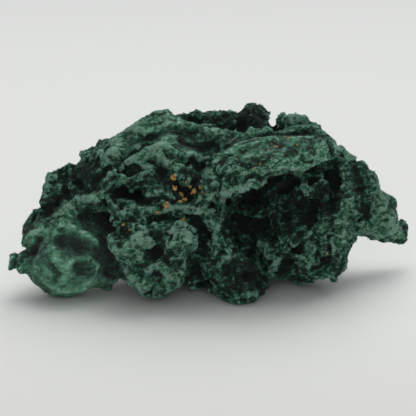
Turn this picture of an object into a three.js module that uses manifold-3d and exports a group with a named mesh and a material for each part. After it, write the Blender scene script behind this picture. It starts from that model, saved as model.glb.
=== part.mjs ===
// A hand-sized lump of fibrous malachite, as it was broken out of its vein.
// It is one natural piece: a humped body with a shelf over a deep hollow on the front right,
// a swollen left end with a blunt snout, a boss low on the front, and a thin wing on the back right.
// Millimetres, +Z up. The front of the stone faces -Y, and it rests on worn contact faces at z = 0.
import * as THREE from "three";
import { mergeVertices } from "three/addons/utils/BufferGeometryUtils.js";
import { ImprovedNoise } from "three/addons/math/ImprovedNoise.js";
import Module from "manifold-3d";

const wasm = await Module();
wasm.setup();

// Driving dimensions.
const STONE_LENGTH = 102; // snout to the tip of the wing, along X
const KNURL_SIZE = 7; // width of the coarse knurls that cover the whole stone
const KNURL_HEIGHT = 1.1; // how far a knurl stands out
const MAX_REACH = 80; // no lump lies further than this from the core of its body
const REACH_STEP = 0.8; // march step, under the thinnest wall
const BISECTIONS = 12;

// A lump is an ellipsoid: its centre, its half-widths in x, y and z, and the angles in degrees
// that it is tipped by about X and then about Y.
function lump(x, y, z, rx, ry, rz, tipX = 0, tipY = 0) {
  const tip = new THREE.Euler(
    THREE.MathUtils.degToRad(tipX),
    THREE.MathUtils.degToRad(tipY),
    0,
    "YXZ",
  );
  return {
    centre: new THREE.Vector3(x, y, z),
    radii: new THREE.Vector3(rx, ry, rz),
    untip: new THREE.Quaternion().setFromEuler(tip).invert(),
  };
}

// The body: a long hump whose front leans back to the crest.
const BODY = {
  core: [2, 4, 24],
  detail: 10,
  blend: 4,
  lumps: [
    lump(-12, 4, 24, 20, 15, 15),
    lump(-11, 8, 34.2, 10.5, 9.5, 9.8),
    lump(-23.5, 4, 28, 10, 11, 9.2),
    lump(4, 11, 32.4, 13, 11, 10),
    lump(22.5, 7, 32.5, 8.5, 11, 9.6),
    lump(12, 13, 17, 20, 11.5, 15),
    lump(28.5, 3, 26, 6, 9, 11),
    lump(-5, -3, 15, 10.5, 8.5, 10.5),
    lump(-12, 14, 8, 10, 8, 8.5),
    lump(17, 15, 7, 9, 8, 7.5),
    lump(1, 19, 20, 9, 5.5, 8),
    lump(-20, 15, 20, 8, 6, 9),
  ],
};

// The shelf: a slab that juts from the crest and dips towards the front.
const SHELF = {
  core: [15, -4, 36],
  detail: 6,
  blend: 3,
  lumps: [
    lump(10, -6.5, 34.2, 10, 11.5, 3.6, 15, -14),
    lump(20.5, -3.5, 37.2, 10.5, 9, 3.2, 11, -9),
    lump(3, -9, 30.5, 6.5, 6.5, 5, 10, -35),
    lump(26.5, -2, 37, 4.4, 6.5, 3),
    lump(14, 2, 35, 12, 8, 5.5, 10, -6),
  ],
};

// The pillar: the knobbly mass that closes the hollow on the right.
const PILLAR = {
  core: [25, 3, 13],
  detail: 5,
  blend: 3,
  lumps: [
    lump(24, 3, 11.5, 10.5, 11, 9.5),
    lump(31, 0, 15, 3.6, 6, 13),
    lump(17, 4, 8, 6, 9, 6),
  ],
};

// The foot: the lowest point of the front, with a thin wall that climbs to the shelf.
const FOOT = {
  core: [6, -7, 6],
  detail: 5,
  blend: 2,
  lumps: [
    lump(8, -9, 4.6, 6.5, 7, 6),
    lump(1.5, -5, 13, 5, 7.5, 10),
    lump(-3, -4, 8, 6, 6, 5.5),
  ],
};

const LEFT_END = {
  core: [-35, -1, 13],
  detail: 6,
  blend: 3,
  lumps: [
    lump(-35.5, -5, 9.5, 9.8, 9.5, 9.6),
    lump(-36, 1, 18, 8, 10, 6),
    lump(-35, 6, 24.5, 6.8, 7, 6.5),
    lump(-42.3, 2, 14.5, 4, 5, 5.5),
    lump(-25, -1, 12, 9, 8, 10),
    lump(-27, 7, 18, 10, 10, 12),
  ],
};

const SNOUT = {
  core: [-45, -7, 9],
  detail: 3,
  blend: 1.5,
  lumps: [lump(-46.8, -7, 9.3, 3, 3.2, 2.8), lump(-42.5, -6, 9.5, 4, 4, 2.6)],
};

const BOSS = {
  core: [-13, -10, 12],
  detail: 5,
  blend: 2.5,
  lumps: [
    lump(-17.5, -11, 17, 7.5, 7, 6, 0, 25),
    lump(-7.5, -11, 17, 5, 6.5, 4.5),
    lump(-12, -10, 9, 6, 7, 6.5),
    lump(-15, -12, 6.5, 3.6, 4, 4.8, 0, -20),
  ],
};

// The wing: a thin slanting plate with a stepped upper edge.
const WING = {
  core: [40, 15, 18],
  detail: 6,
  blend: 1.5,
  lumps: [
    lump(35, 13, 24.5, 6.8, 7, 8.6, 0, -35),
    lump(40, 15, 18, 5.8, 5, 9, 0, -38),
    lump(45.4, 17, 14.4, 4.6, 4, 6.6),
    lump(50.2, 17.5, 9.4, 2.6, 2.8, 2.5),
    lump(38, 14, 14.5, 6, 5, 4.5),
    lump(30, 14, 17, 8, 8, 10),
  ],
};

const WING_KNOB = {
  core: [41, 15, 24],
  detail: 2,
  blend: 1,
  lumps: [lump(41.3, 16, 23.9, 2.7, 3, 2.6)],
};

const CREST_KNOB = {
  core: [12, 11, 41.5],
  detail: 3,
  blend: 1.5,
  lumps: [lump(11.8, 11.5, 41.8, 3, 3.2, 3), lump(14, 11, 39.5, 3.2, 3.5, 2.6)],
};

const CREST_HORN = {
  core: [20, 8, 40],
  detail: 3,
  blend: 1.5,
  lumps: [lump(19.2, 8, 41.3, 1.9, 2.4, 2.4), lump(24, 8, 39.8, 4, 4, 3)],
};

// The hollows, cut out of the joined masses.
const CAVE = {
  core: [13, -11, 21],
  detail: 6,
  blend: 2,
  lumps: [
    lump(10.8, -11, 20.5, 8, 18, 10, 0, -10),
    lump(20, -13, 26, 10, 13, 6.5, 0, -10),
    lump(28.5, -14, 28.5, 4.5, 9, 5.5),
    lump(22, -21, 14, 9, 12, 8),
  ],
};

const FOOT_POCKET = {
  core: [9, -17, 6],
  detail: 2,
  blend: 1,
  lumps: [lump(11, -17, 6.8, 5.4, 6, 2.6, 0, 24)],
};

const LEFT_POCKET = {
  core: [-26, -10, 19],
  detail: 3,
  blend: 1.5,
  lumps: [lump(-26.5, -10, 19, 4.2, 7, 3, 0, 12)],
};

const BROW_POCKET = {
  core: [-20, -12, 25.5],
  detail: 2,
  blend: 1.5,
  lumps: [lump(-20, -12, 25.5, 4, 5.5, 1.9)],
};

const FRONT_ARCH = {
  core: [-3, -12, -1],
  detail: 3,
  blend: 3,
  lumps: [lump(-2.5, -14, -1.5, 5, 15, 3.6)],
};

const BELLY_ARCH = {
  core: [-23, -4, -1],
  detail: 3,
  blend: 3,
  lumps: [lump(-23, -4, -2, 8, 24, 3.6)],
};

const RIGHT_ARCH = {
  core: [26, 0, -1],
  detail: 3,
  blend: 3,
  lumps: [lump(25, -6, -2, 11, 13, 4.4)],
};

const MASSES = [
  BODY,
  SHELF,
  PILLAR,
  FOOT,
  LEFT_END,
  SNOUT,
  BOSS,
  WING,
  WING_KNOB,
  CREST_KNOB,
  CREST_HORN,
];
const HOLLOWS = [
  CAVE,
  FOOT_POCKET,
  LEFT_POCKET,
  BROW_POCKET,
  FRONT_ARCH,
  BELLY_ARCH,
  RIGHT_ARCH,
];

const noise = new ImprovedNoise();

/** Signed distance from a point to a lump, negative inside. */
function distanceToLump(point, { centre, radii, untip }) {
  const local = point.clone().sub(centre).applyQuaternion(untip).divide(radii);
  const share = local.length();
  const slope = local.divide(radii).length();
  return slope > 0 ? (share * (share - 1)) / slope : -Math.min(...radii.toArray());
}

/** The smaller of two distances, rounded over where they are within `blend` of each other. */
function roundedMin(a, b, blend) {
  const h = Math.max(blend - Math.abs(a - b), 0) / blend;
  return Math.min(a, b) - (h * h * blend) / 4;
}

/** Height of the knurled surface at a point: rounded humps with narrow creases between them. */
function knurl(point) {
  const hump = (size) =>
    1 - 2 * Math.abs(noise.noise(point.x / size + 11, point.y / size, point.z / size));
  return KNURL_HEIGHT * (hump(KNURL_SIZE) - 0.6 + 0.4 * hump(KNURL_SIZE / 2));
}

/** How far a ray from `core` runs before it leaves the blended lumps. */
function reach(core, direction, lumps, blend) {
  const point = new THREE.Vector3();
  const outside = (distance) => {
    point.copy(core).addScaledVector(direction, distance);
    const field = lumps
      .map((one) => distanceToLump(point, one))
      .reduce((a, b) => roundedMin(a, b, blend));
    return field - knurl(point) > 0;
  };
  let far = REACH_STEP;
  while (far < MAX_REACH && !outside(far)) far += REACH_STEP;
  let near = far - REACH_STEP;
  for (let i = 0; i < BISECTIONS; i += 1) {
    const middle = (near + far) / 2;
    if (outside(middle)) far = middle;
    else near = middle;
  }
  return near;
}

/** A rounded body: a ball whose points run out from the core to the surface of its lumps. */
function roundedBody({ core, detail, blend, lumps }) {
  const geometry = new THREE.IcosahedronGeometry(1, detail);
  const centre = new THREE.Vector3(...core);
  const positions = geometry.getAttribute("position");
  const direction = new THREE.Vector3();
  for (let i = 0; i < positions.count; i += 1) {
    direction.fromBufferAttribute(positions, i).normalize();
    const distance = reach(centre, direction, lumps, blend);
    direction.multiplyScalar(distance).add(centre);
    positions.setXYZ(i, direction.x, direction.y, direction.z);
  }
  return geometry;
}

/** A closed three.js geometry as a manifold-3d solid. */
function solidOf(geometry) {
  const bare = geometry.clone();
  bare.deleteAttribute("normal");
  bare.deleteAttribute("uv");
  const merged = mergeVertices(bare, 1e-3);
  return new wasm.Manifold(
    new wasm.Mesh({
      numProp: 3,
      vertProperties: merged.attributes.position.array,
      triVerts: new Uint32Array(merged.index.array),
    }),
  );
}

/** A manifold-3d solid as a three.js geometry with flat-shaded faces. */
function geometryOf(solid) {
  const mesh = solid.getMesh();
  const geometry = new THREE.BufferGeometry();
  geometry.setAttribute("position", new THREE.BufferAttribute(mesh.vertProperties, 3));
  geometry.setIndex(new THREE.BufferAttribute(mesh.triVerts, 1));
  return geometry;
}

/** The whole stone: every mass joined, the hollows cut out, and the feet worn flat on the ground. */
function stone() {
  const masses = MASSES.map(roundedBody).map(solidOf);
  const hollows = HOLLOWS.map(roundedBody).map(solidOf);
  const ground = new THREE.BoxGeometry(3 * STONE_LENGTH, 3 * STONE_LENGTH, STONE_LENGTH);
  ground.translate(0, 0, -STONE_LENGTH / 2);
  const joined = masses.reduce((a, b) => a.add(b));
  const hollowed = hollows.reduce((a, b) => a.subtract(b), joined);
  return geometryOf(hollowed.subtract(solidOf(ground)));
}

/** Scales a geometry to the stone's length, and stands it on the middle of its footprint. */
function settle(geometry) {
  geometry.computeBoundingBox();
  const { min, max } = geometry.boundingBox;
  const scale = STONE_LENGTH / (max.x - min.x);
  geometry.translate(-(min.x + max.x) / 2, -(min.y + max.y) / 2, 0);
  geometry.scale(scale, scale, scale);
  geometry.computeVertexNormals();
  return geometry;
}

const malachite = new THREE.Mesh(
  settle(stone()),
  new THREE.MeshStandardMaterial({ color: 0x26503a, roughness: 0.85, metalness: 0 }),
);
malachite.name = "malachite";

const specimen = new THREE.Group();
specimen.add(malachite);

export default specimen;
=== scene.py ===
"""A hand specimen of fibrous malachite on a plain table: its velvety crust, its rusty grains and the studio.

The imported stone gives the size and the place. Lengths here are in millimetres unless a name says otherwise.
"""

import logging
import math
from dataclasses import dataclass, field
from enum import Enum
from typing import Callable, Sequence

import bmesh
import bpy
import numpy as np
from mathutils import Matrix, Vector, noise
from mathutils.bvhtree import BVHTree


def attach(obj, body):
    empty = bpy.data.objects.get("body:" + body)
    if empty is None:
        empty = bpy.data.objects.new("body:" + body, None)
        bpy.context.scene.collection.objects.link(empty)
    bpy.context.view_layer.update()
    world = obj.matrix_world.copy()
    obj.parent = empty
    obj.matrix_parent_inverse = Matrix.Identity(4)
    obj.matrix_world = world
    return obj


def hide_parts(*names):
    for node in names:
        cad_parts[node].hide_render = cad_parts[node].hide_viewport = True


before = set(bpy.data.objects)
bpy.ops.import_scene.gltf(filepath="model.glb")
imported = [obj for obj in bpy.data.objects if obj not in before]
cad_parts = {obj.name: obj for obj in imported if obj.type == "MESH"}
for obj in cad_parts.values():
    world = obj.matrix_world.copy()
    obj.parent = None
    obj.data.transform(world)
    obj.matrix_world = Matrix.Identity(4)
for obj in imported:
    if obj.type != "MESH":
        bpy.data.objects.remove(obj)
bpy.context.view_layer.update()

MM = 0.001
NODE = "malachite"

THREE_TURNS = (0.0, 31.0, 67.0)  # far apart, so that three readings of one noise have nothing in common

LOG = logging.getLogger("malachite")


# ---------------------------------------------------------------- small helpers


def linear(hex_colour: str) -> tuple[float, float, float, float]:
    """Turns an sRGB hex colour into the linear RGBA that a shader socket takes.

    Args:
        hex_colour: six hex digits, with or without a leading hash.

    Returns:
        Linear red, green, blue and an alpha of one.
    """
    digits = hex_colour.lstrip("#")
    channels = [int(digits[i : i + 2], 16) / 255 for i in (0, 2, 4)]
    red, green, blue = (c / 12.92 if c <= 0.04045 else ((c + 0.055) / 1.055) ** 2.4 for c in channels)
    return red, green, blue, 1.0


def add_node(
    tree: bpy.types.NodeTree,
    kind: str,
    settings: dict | None = None,
    stops: Sequence[tuple[float, str]] = (),
    **inputs,
) -> bpy.types.Node:
    """Adds a node with its settings, socket values and links.

    Args:
        tree: the node tree that takes the node.
        kind: the node's type name.
        settings: properties of the node itself.
        stops: a position and a hex colour for each stop of a colour ramp.
        inputs: a value or an output socket for each input, by name with _ for a space, or as iN for input N.

    Returns:
        The new node.
    """
    node = tree.nodes.new(kind)
    for name, value in (settings or {}).items():
        setattr(node, name, value)
    if stops:
        elements = node.color_ramp.elements
        while len(elements) < len(stops):
            elements.new(0.5)
        for element, (position, hex_colour) in zip(elements, stops):
            element.position = position
            element.color = linear(hex_colour)
    for name, value in inputs.items():
        numbered = name[0] == "i" and name[1:].isdigit()
        socket = node.inputs[int(name[1:])] if numbered else node.inputs[name.replace("_", " ")]
        if isinstance(value, bpy.types.NodeSocket):
            tree.links.new(value, socket)
        else:
            socket.default_value = value
    return node


def bare_material(name: str) -> tuple[bpy.types.Material, bpy.types.NodeTree]:
    """Makes a material with no nodes yet, and gives it with its node tree.

    Args:
        name: what it is made of.

    Returns:
        The material and its empty node tree.
    """
    material = bpy.data.materials.new(name)
    material.use_nodes = True
    material.node_tree.nodes.clear()
    return material, material.node_tree


def stand(name: str, data: bpy.types.ID) -> bpy.types.Object:
    """Puts a mesh, a light or a lens in the scene as an object at the origin.

    Args:
        name: the object's name.
        data: the mesh, light or lens.

    Returns:
        The object.
    """
    thing = bpy.data.objects.new(name, data)
    bpy.context.scene.collection.objects.link(thing)
    return thing


def applied(piece: bpy.types.Object) -> bpy.types.Object:
    """Makes a piece's modifiers permanent in its mesh.

    Args:
        piece: a mesh object with live modifiers.

    Returns:
        The same object, with no modifiers.
    """
    graph = bpy.context.evaluated_depsgraph_get()
    mesh = bpy.data.meshes.new_from_object(piece.evaluated_get(graph))
    piece.modifiers.clear()
    piece.data = mesh
    mesh.name = piece.name
    return piece


def coordinates(mesh: bpy.types.Mesh) -> np.ndarray:
    """Gives a mesh's vertex positions in millimetres, one row each.

    Args:
        mesh: the mesh to read.

    Returns:
        One row of x, y and z for each vertex.
    """
    flat = np.empty(len(mesh.vertices) * 3, dtype=np.float32)
    mesh.vertices.foreach_get("co", flat)
    return flat.reshape(-1, 3).astype(float) / MM


def place(mesh: bpy.types.Mesh, points: np.ndarray) -> None:
    """Puts a mesh's vertices at positions given in millimetres.

    Args:
        mesh: the mesh to move.
        points: one row for each vertex.
    """
    mesh.vertices.foreach_set("co", (points * MM).astype(np.float32).ravel())
    mesh.update()


def normals(mesh: bpy.types.Mesh) -> np.ndarray:
    """Gives a mesh's vertex normals, one row each.

    Args:
        mesh: the mesh to read.

    Returns:
        One row for each vertex.
    """
    flat = np.empty(len(mesh.vertices) * 3, dtype=np.float32)
    mesh.vertices.foreach_get("normal", flat)
    return flat.reshape(-1, 3).astype(float)


def write_attribute(mesh: bpy.types.Mesh, name: str, values: np.ndarray) -> None:
    """Stores one number for each vertex, where a material can read it.

    Args:
        mesh: the mesh that takes the attribute.
        name: the attribute's name.
        values: one value for each vertex.
    """
    layer = mesh.attributes.new(name, "FLOAT", "POINT")
    layer.data.foreach_set("value", values.astype(np.float32))


def smooth_step(values: np.ndarray, low: float, high: float) -> np.ndarray:
    """Rises smoothly from 0 at `low` to 1 at `high`."""
    share = np.clip((values - low) / (high - low), 0.0, 1.0)
    return share * share * (3 - 2 * share)


class Spread:
    """Blurs values over a mesh's surface, from each vertex to its neighbours."""

    def __init__(self, mesh: bpy.types.Mesh) -> None:
        """Reads the mesh's edges.

        Args:
            mesh: the mesh whose surface carries the values.
        """
        self.mesh = mesh
        flat = np.empty(len(mesh.edges) * 2, dtype=np.int32)
        mesh.edges.foreach_get("vertices", flat)
        pairs = flat.reshape(-1, 2)
        self.start = np.concatenate([pairs[:, 0], pairs[:, 1]])
        self.end = np.concatenate([pairs[:, 1], pairs[:, 0]])
        self.count = len(mesh.vertices)
        self.degree = np.maximum(np.bincount(self.start, minlength=self.count), 1)

    def blur(self, values: np.ndarray, rounds: int) -> np.ndarray:
        """Averages each vertex with its neighbours.

        Args:
            values: one value or one row for each vertex.
            rounds: how often to do it.

        Returns:
            The blurred values, in the same shape.
        """
        columns = values.reshape(self.count, -1).T.copy()
        for _ in range(rounds):
            for i, column in enumerate(columns):
                around = np.bincount(self.start, weights=column[self.end], minlength=self.count) / self.degree
                columns[i] = 0.5 * column + 0.5 * around
        return columns.T.reshape(values.shape)

    def outward(self, rounds: int) -> np.ndarray:
        """Gives each vertex's outward direction, blurred so that it ignores the smallest bumps."""
        blurred = self.blur(normals(self.mesh), rounds)
        return blurred / np.linalg.norm(blurred, axis=1, keepdims=True)


def sample(points: np.ndarray, size: float, recipe: Callable[[Vector], float], seed: float) -> np.ndarray:
    """Reads a noise at each point.

    Args:
        points: positions in millimetres.
        size: width of one hump of the noise.
        recipe: a noise of one position.
        seed: moves the noise, so that two readings differ.

    Returns:
        One value for each point.
    """
    scaled = points / size + np.array([seed, 1.7 * seed, -0.9 * seed])
    return np.array([recipe(Vector(p)) for p in scaled])


def vector_noise(points: np.ndarray, size: float, seed: float) -> np.ndarray:
    """Reads three noises at each point, to push it a little in any direction."""
    return np.stack([sample(points, size, noise.noise, seed + turn) for turn in THREE_TURNS], axis=1)


def nearest_bead(position: Vector) -> float:
    """Gives the distance to the nearest bead of a cellular noise."""
    return noise.voronoi(position)[0][0]


def ranges(position: Vector) -> float:
    """Gives the height of small mountain ranges: crisp branching crests, frayed tops and calm slopes."""
    return noise.ridged_multi_fractal(position, 0.95, 2.1, 5, 0.9, 1.6)


def gritty(position: Vector) -> float:
    """Gives a rough noise of four layers, each half as wide as the one before."""
    return noise.fractal(position, 0.55, 2.1, 4)


def cloudy(position: Vector) -> float:
    """Gives a soft noise of three layers."""
    return noise.fractal(position, 0.8, 2.2, 3)


def facet(position: Vector) -> float:
    """Gives the height of a broken facet: each cell of a cellular noise is a flat that tilts its own way.

    Args:
        position: where to read it, in widths of a cell.

    Returns:
        The height, about -1 to 1.
    """
    middle = noise.voronoi(position)[1][0]
    tilt = Vector([noise.noise(5.3 * middle + Vector((turn, turn, 0.0))) for turn in THREE_TURNS])
    return 2.4 * (position - middle).dot(tilt)


# ---------------------------------------------------------------- the studio


@dataclass(frozen=True)
class TableFinish:
    """Matt white card, as used for a product table: an even pale grey, darkened towards the front by painted
    shade.
    """

    # The nearest colour is darker: painted shade on the card in front of the stone.
    colours: tuple[str, str, str] = ("#c4c4bf", "#e4e5e3", "#eeefed")
    places_mm: tuple[float, float, float] = (-230.0, 30.0, 500.0)
    roughness: float = 0.9

    def material(self) -> bpy.types.Material:
        """Builds the card's material.

        Returns:
            The material.
        """
        card, tree = bare_material("matt white card")
        where = add_node(tree, "ShaderNodeTexCoord")
        split = add_node(tree, "ShaderNodeSeparateXYZ", Vector=where.outputs["Object"])
        near, _, far = self.places_mm
        reach = {"From_Min": near * MM, "From_Max": far * MM}
        share = add_node(tree, "ShaderNodeMapRange", Value=split.outputs[1], **reach)
        places = [(place_mm - near) / (far - near) for place_mm in self.places_mm]
        stops = tuple(zip(places, self.colours))
        ramp = add_node(tree, "ShaderNodeValToRGB", stops=stops, Fac=share.outputs[0])
        ramp.color_ramp.interpolation = "EASE"
        surface = add_node(
            tree, "ShaderNodeBsdfPrincipled", Base_Color=ramp.outputs[0], Roughness=self.roughness
        )
        add_node(tree, "ShaderNodeOutputMaterial", Surface=surface.outputs[0])
        return card


@dataclass
class Studio:
    """The table sweep, the soft light from above and behind, and the camera."""

    distance_mm: float = 380.0
    elevation_deg: float = 14.0
    lens_mm: float = 130.9
    sensor_mm: float = 36.0
    aim_mm: tuple[float, float, float] = (-1.4, 0.0, 20.1)
    sky_strength: float = 1.82
    sky_spread_deg: float = 55.0
    sky_place_mm: tuple[float, float, float] = (230, 640, 850)
    pool_watts: float = 0.42
    pool_mm: float = 300
    pool_place_mm: tuple[float, float, float] = (-40, 60, 500)
    front_watts: float = 0.46
    front_mm: float = 320
    front_place_mm: tuple[float, float, float] = (0, -480, 160)
    room: str = "#eceeee"
    room_strength: float = 0.40
    table_m: float = 6.0

    def eye(self) -> Vector:
        """Gives the camera's position in metres.

        Returns:
            The position.
        """
        tilt = math.radians(self.elevation_deg)
        back = Vector((0, -math.cos(tilt), math.sin(tilt)))
        return (Vector(self.aim_mm) + back * self.distance_mm) * MM

    def lay(self, body: bpy.types.Object, spots: Sequence[tuple[float, float]]) -> np.ndarray:
        """Lays spots on the stone's front, along the camera's lines of sight.

        Args:
            body: the object that they lie on.
            spots: millimetres right of and above the aim.

        Returns:
            The places that they fall on, in millimetres.
        """
        eye, aim = self.eye(), Vector(self.aim_mm) * MM
        right = Vector((1, 0, 0))
        above = right.cross(aim - eye).normalized()
        tree = BVHTree.FromObject(body, bpy.context.evaluated_depsgraph_get())
        rays = [aim + (right * u + above * v) * MM - eye for u, v in spots]
        hits = [tree.ray_cast(eye, ray.normalized())[0] for ray in rays]
        return np.array([np.array(hit) / MM for hit in hits if hit is not None])

    def camera(self) -> bpy.types.Object:
        """Sets up the camera that looks at the front of the stone from a little above.

        Returns:
            The camera.
        """
        lens = bpy.data.cameras.new("camera")
        lens.lens = self.lens_mm
        lens.sensor_width = self.sensor_mm
        lens.clip_start = 0.01
        camera = stand("camera", lens)
        camera.location = self.eye()
        aim = Vector(self.aim_mm) * MM - self.eye()
        camera.rotation_euler = aim.to_track_quat("-Z", "Y").to_euler()
        bpy.context.scene.camera = camera
        return camera

    def table(self) -> bpy.types.Object:
        """Makes the pale table: a wide sheet that the stone stands on.

        Returns:
            The table.
        """
        bm = bmesh.new()
        bmesh.ops.create_grid(bm, x_segments=8, y_segments=8, size=self.table_m)
        mesh = bpy.data.meshes.new("table")
        bm.to_mesh(mesh)
        bm.free()
        table = stand("table", mesh)
        mesh.materials.append(TableFinish().material())
        return table

    def hang(self, light: bpy.types.Light, place_mm: tuple[float, float, float]) -> None:
        """Hangs a light so that it faces the stone.

        Args:
            light: the light.
            place_mm: where it hangs.
        """
        lamp = stand(light.name, light)
        lamp.location = Vector(place_mm) * MM
        lamp.rotation_euler = (Vector(self.aim_mm) * MM - lamp.location).to_track_quat("-Z", "Y").to_euler()

    def lights(self) -> None:
        """Sets up a broad soft light from above and behind, a pool over the stone and a pale room."""
        sky = bpy.data.lights.new("ceiling of soft light", "SUN")
        sky.energy = self.sky_strength
        sky.angle = math.radians(self.sky_spread_deg)
        self.hang(sky, self.sky_place_mm)
        for name, watts, size, place_mm in (
            ("overhead softbox", self.pool_watts, self.pool_mm, self.pool_place_mm),
            ("front reflector", self.front_watts, self.front_mm, self.front_place_mm),
        ):
            panel = bpy.data.lights.new(name, "AREA")
            panel.size = size * MM
            panel.energy = watts
            self.hang(panel, place_mm)
        world = bpy.data.worlds.new("pale room")
        world.use_nodes = True
        background = world.node_tree.nodes["Background"]
        background.inputs[0].default_value = linear(self.room)
        background.inputs[1].default_value = self.room_strength
        bpy.context.scene.world = world

    def build(self) -> None:
        """Builds the whole studio."""
        self.camera()
        self.table()
        self.lights()
        bpy.context.scene.view_settings.view_transform = "Standard"
        LOG.info("studio: camera %.0f mm away, %.0f degrees up", self.distance_mm, self.elevation_deg)


# ---------------------------------------------------------------- the stone's form


@dataclass(frozen=True)
class Stroke:
    """One stroke of the sculpting: a ridge if its rise is positive, a groove or pit if it is negative.

    Its points are millimetres right of and above the middle of the stone's front, as seen from the camera.
    `crisp` is the power of its cross-section: 1 is a sharp crest, 4 a flat-topped pad. `tone` lightens or
    darkens the crust along it: painted shade in grooves and pits, a painted highlight along ridges and lips,
    and elsewhere the felt's own paler or darker streaks.
    """

    points: tuple[tuple[float, float], ...]
    width: float
    rise: float
    crisp: float = 1.5
    tone: float = 0.0


# The swollen left end: a crisp ridge climbs over it, with a dark facet on its left and soft folds below.
LEFT_END = (
    Stroke(
        ((-46.6, -10.2), (-44.2, -7), (-40.4, -4.8), (-37.2, -1.8), (-33.7, 1.3), (-31.2, 2.4)),
        0.8, 2.5, 1.0, 0.32,
    ),
    Stroke(((-31.2, 2.4), (-27.5, 2.6), (-25.9, 3.4), (-23.8, 1.6), (-20.5, -2.6)), 0.7, 2.0, 1.0, 0.28),
    Stroke(((-44.2, -2.4), (-45.4, -5.4)), 1.4, -0.6, 2.0, -0.24),
    Stroke(((-42.6, -8), (-44.4, -11.6)), 1.2, -1.5, 1.8, -0.24),
    Stroke(((-40.5, -1), (-37.5, 3)), 1.8, -1.2, 2.0, -0.28),
    Stroke(((-30.2, -1.8), (-26.4, -2.6), (-24.4, -4.6)), 1.8, -1.6, 2.2, -0.16),
    Stroke(((-37.5, -4.2), (-33.5, -5.2), (-29.9, -7.0), (-27.6, -9.0)), 0.9, 1.5, 1.1, 0.18),
    Stroke(((-36.4, -8.2), (-33.7, -8.8), (-31.4, -10.4)), 2.1, -1.4, 2.0, -0.1),
    Stroke(((-38.8, -10.2), (-38.2, -11.4), (-38.4, -12.8)), 0.7, 1.1, 1.2, 0.3),
    Stroke(((-34.6, -13.6), (-32, -12.4), (-29.6, -12.6), (-28, -14.6), (-28.4, -17)), 0.7, 1.3, 1.1, 0.14),
    Stroke(((-32.8, -14.8), (-30.6, -16.4)), 1.5, -0.9, 1.8, -0.06),
    Stroke(((-39.4, -14.6), (-37.6, -16.6), (-38.6, -19)), 0.7, -0.9, 1.4, -0.16),
    Stroke(((-41, -18.5), (-37, -21), (-32, -20.8), (-28.5, -18.6)), 1.7, 0.6, 1.8, 0.18),
    Stroke(((-36.6, -13.4), (-35, -16.2)), 1.8, 0.4, 2.0, 0.1),
    Stroke(((-25.4, -8), (-24, -11), (-24.6, -17)), 2.2, -1.2, 2.2, -0.1),
    Stroke(((-27, -17.5), (-24, -18.6), (-22, -18)), 1.0, 0.7, 1.5, 0.0),
    Stroke(((-48.9, -10.6), (-48.5, -13.5)), 0.7, -0.6, 1.5, -0.1),
    Stroke(((-46.6, -10.2), (-46.2, -13.6)), 0.7, -0.6, 1.5, -0.1),
)

# The upper left lobe: purplish black fibres, parted by an upright groove that forks at its foot.
LEFT_LOBE = (
    Stroke(((-36.6, 11.5), (-36.3, 7.5), (-35.8, 4)), 0.8, -2.0, 1.5, -0.1),
    Stroke(((-35.8, 4), (-38, 1.8)), 0.8, -1.2, 1.5, -0.1),
    Stroke(((-35.8, 4), (-33.4, 1.8)), 0.8, -1.2, 1.5, -0.1),
    Stroke(((-37.6, 11), (-37.6, 7), (-37.8, 3.5)), 0.8, 1.1, 1.3, 0.1),
    Stroke(((-34.8, 10.5), (-34.4, 7), (-34.2, 3.5)), 0.8, 1.0, 1.3, 0.0),
    Stroke(((-40, 7.5), (-40.3, 3)), 1.5, 0.8, 1.8, 0.3),
    Stroke(((-32.5, 9), (-31, 6.5), (-31.5, 2.5)), 2.2, 0.8, 1.8, -0.3),
    Stroke(((-28, 11.5), (-26.5, 9), (-28.5, 6.5)), 1.6, -1.4, 1.8, -0.25),
)

# The long slope on the upper left: overlapping folds that climb to the right, with a painted highlight along
# their lips.
SLOPE = (
    Stroke(((-28, 13), (-22.5, 18), (-15.5, 21.8)), 0.9, 1.0, 1.2, 0.14),
    Stroke(((-27.5, 10), (-25.5, 13.5), (-22.5, 15.5)), 1.1, 0.8, 1.3, 0.24),
    Stroke(((-27, 6.5), (-21, 11), (-15, 14), (-10, 16)), 0.8, 1.5, 1.1, 0.16),
    Stroke(((-26, 8.3), (-20, 13), (-14.5, 16.2)), 0.8, -1.5, 1.5, -0.2),
    Stroke(((-29, 2.5), (-23.5, 6), (-17, 9), (-13, 10.5)), 0.7, 1.3, 1.1, 0.15),
    Stroke(((-26, 2.2), (-21, 5), (-16, 6.8)), 0.8, -1.2, 1.5, -0.16),
    Stroke(((-17.5, 15.5), (-13.5, 14), (-11.5, 16.2)), 1.1, 0.7, 1.5, 0.2),
    Stroke(((-18, 19.8), (-14.5, 19.2)), 1.0, 0.6, 1.5, 0.2),
    Stroke(((-15.5, 23.5), (-11, 24), (-8, 22.3)), 1.1, 0.8, 1.3, 0.2),
    Stroke(((-14, 11.8), (-11.5, 8.6)), 1.0, -1.6, 1.6, -0.14),
    Stroke(((-12, 13.2), (-9.5, 9.5), (-4, 10.5)), 0.8, 1.1, 1.2, 0.12),
    Stroke(((-13.5, 9), (-10.5, 7.5)), 2.0, 1.2, 2.0, -0.18),
    Stroke(((-17.5, 17), (-10, 19.5), (-3.5, 18)), 1.1, -1.0, 1.5, -0.12),
    Stroke(((-10, 21), (-4, 20.8), (0.5, 18.3)), 1.6, 0.8, 2.0, -0.1),
    Stroke(((-6.5, 16.8), (-2, 15.2), (2.5, 16.2)), 1.2, -1.6, 1.6, -0.2),
    Stroke(((-8, 13.6), (-3.5, 13), (0.5, 11)), 1.5, 1.2, 1.8, 0.02),
    Stroke(((-1.5, 9.5), (2, 12.5)), 1.6, -1.7, 1.8, -0.2),
)
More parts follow.
